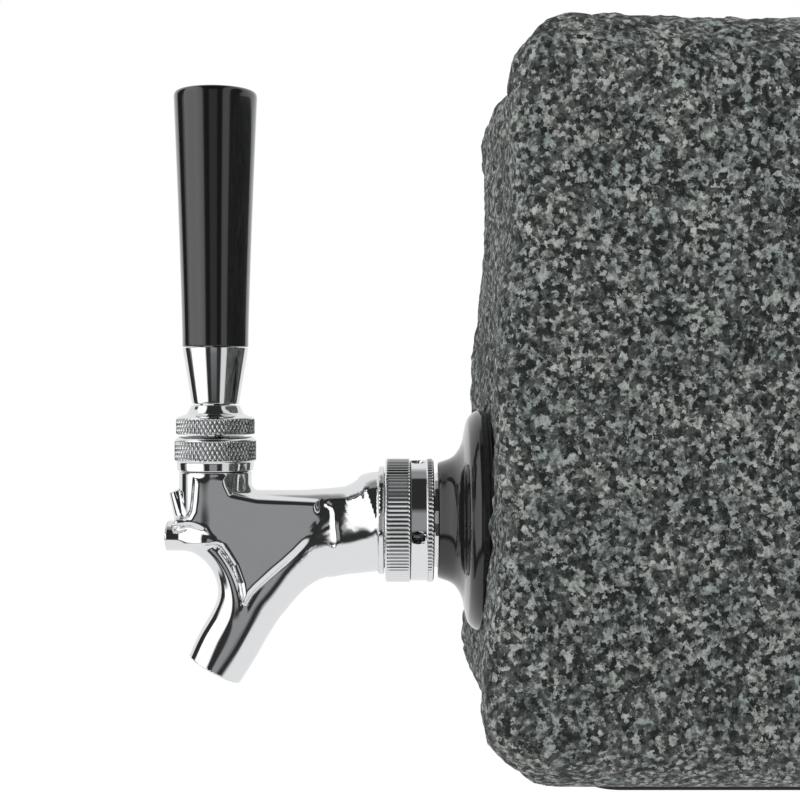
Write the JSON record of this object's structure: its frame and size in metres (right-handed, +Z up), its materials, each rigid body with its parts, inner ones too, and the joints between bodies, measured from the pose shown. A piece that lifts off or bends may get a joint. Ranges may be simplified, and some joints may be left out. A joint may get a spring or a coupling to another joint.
{
  "type": "beer tap tower",
  "caption": "Counter-top beer tower: a chromed tap with a black tapered grip and a round flange on a rough granite block, cored from below for the beer line.",
  "frame": {"origin": "middle of the whole object's plan, at the underside of the base gasket", "axes": "+Z up; -Y is the tap's side; +X is to the right when looking along +Y at the tap"},
  "size_m": [0.1574, 0.2498, 0.2142],
  "materials": {
    "granite": "matte",
    "chrome": "polished",
    "brass": "satin",
    "steel": "satin",
    "black_plastic": "satin",
    "black_gloss": "gloss",
    "rubber": "matte",
    "nylon": "satin"
  },
  "bodies": {
    "tower": {"stone_block": "granite", "base_gasket": "rubber", "base_insert_1": "brass", "base_insert_2": "brass", "base_insert_3": "brass", "base_insert_4": "brass", "bonnet": "chrome", "friction_ring": "nylon", "ball_washer": "rubber", "faucet_body": "chrome", "coupling_nut": "chrome", "coupling_washer": "rubber", "snap_ring": "steel", "shank": "chrome", "wall_flange": "black_gloss", "flange_gasket": "rubber", "saddle_washer": "steel", "shank_locknut": "brass", "tail_washer": "rubber", "tail_nut": "brass", "tail_elbow": "chrome"},
    "handle": {"lever": "chrome", "jam_collar": "chrome", "handle_ferrule": "chrome", "handle_insert": "brass", "handle_grip": "black_plastic"},
    "valve": {"valve_shaft": "steel", "seat_washer": "rubber", "seat_nut": "brass"}
  },
  "joints": [
    {"name": "handle_tilt", "type": "hinge", "parent": "tower", "child": "handle", "pos_m": [0, -0.11005, 0.0843], "axis": [1, 0, 0], "range_deg": [0, 25]},
    {"name": "valve_slide", "type": "slide", "parent": "tower", "child": "valve", "axis": [0, 1, 0], "range_m": [0, 0.006]}
  ],
  "couplings": [
    {"joint": "valve_slide", "follows": "handle_tilt", "m_per_rad": 0.01356}
  ]
}
